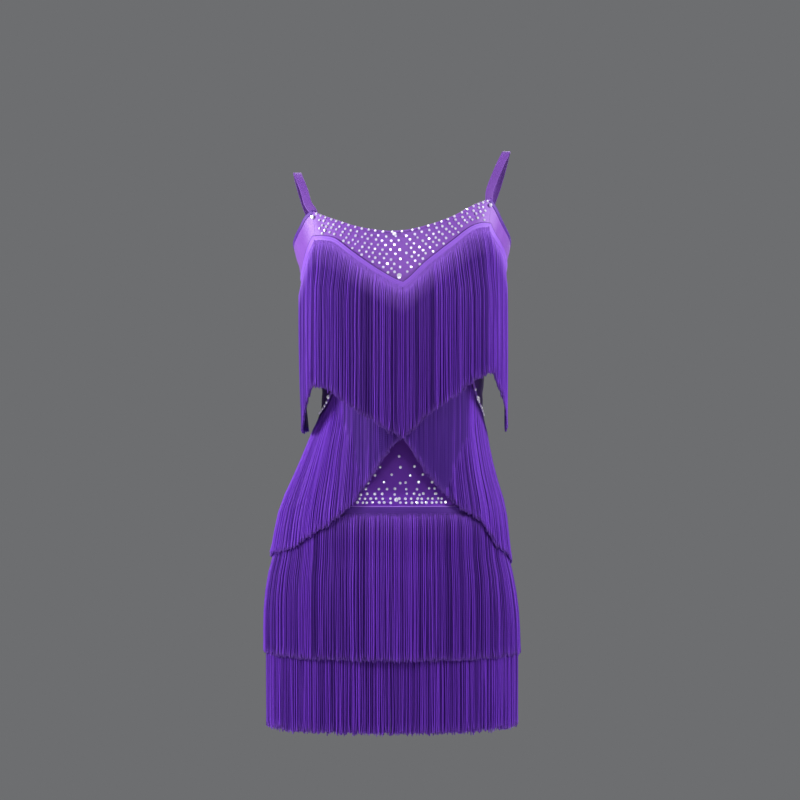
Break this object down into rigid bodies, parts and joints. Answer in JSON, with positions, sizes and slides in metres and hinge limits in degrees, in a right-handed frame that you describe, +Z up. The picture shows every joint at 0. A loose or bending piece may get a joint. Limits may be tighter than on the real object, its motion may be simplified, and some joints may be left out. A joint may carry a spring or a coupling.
{
  "type": "latin dance dress",
  "caption": "Short sleeveless stretch-satin latin dance dress with tiers of long chainette fringe, a rhinestone yoke and thin shoulder straps, in worn shape.",
  "frame": {"origin": "at the shoulders, midway between the tops of the two straps, where a wearer holds the dress up", "axes": "+Z up, the front of the dress faces -Y, and the dress is seen from the front with +X to the right"},
  "size_m": [0.3444, 0.2812, 0.7643],
  "materials": {
    "satin": "smooth stretch satin with a soft sheen",
    "waist_cloth": "dark matt stretch jersey",
    "belly_cloth": "plain stretch jersey, nearly matt",
    "binding": "folded satin binding",
    "tape": "narrow woven header tape",
    "elastic": "ribbed elastic, matt",
    "fringe": "twisted rayon strands with a silky sheen",
    "rhinestone": "clear faceted glass with a silver foil back"
  },
  "bodies": {
    "root": {"front_yoke": "satin", "bodice_front": "satin", "side_panel_left": "satin", "side_panel_right": "satin", "waist_piece_left": "waist_cloth", "waist_piece_right": "waist_cloth", "belly_panel": "belly_cloth", "back_panel": "satin", "skirt_front": "satin", "skirt_back": "satin", "neckline_binding": "binding", "armhole_binding_left": "binding", "armhole_binding_right": "binding", "back_binding": "binding", "strap_left": "elastic", "strap_right": "elastic", "tape_top": "tape", "fringe_top": "fringe", "tape_hip_left": "tape", "fringe_hip_left": "fringe", "tape_hip_right": "tape", "fringe_hip_right": "fringe", "tape_skirt_upper": "tape", "fringe_skirt_upper": "fringe", "tape_skirt_lower": "tape", "fringe_skirt_lower": "fringe"}
  },
  "joints": []
}
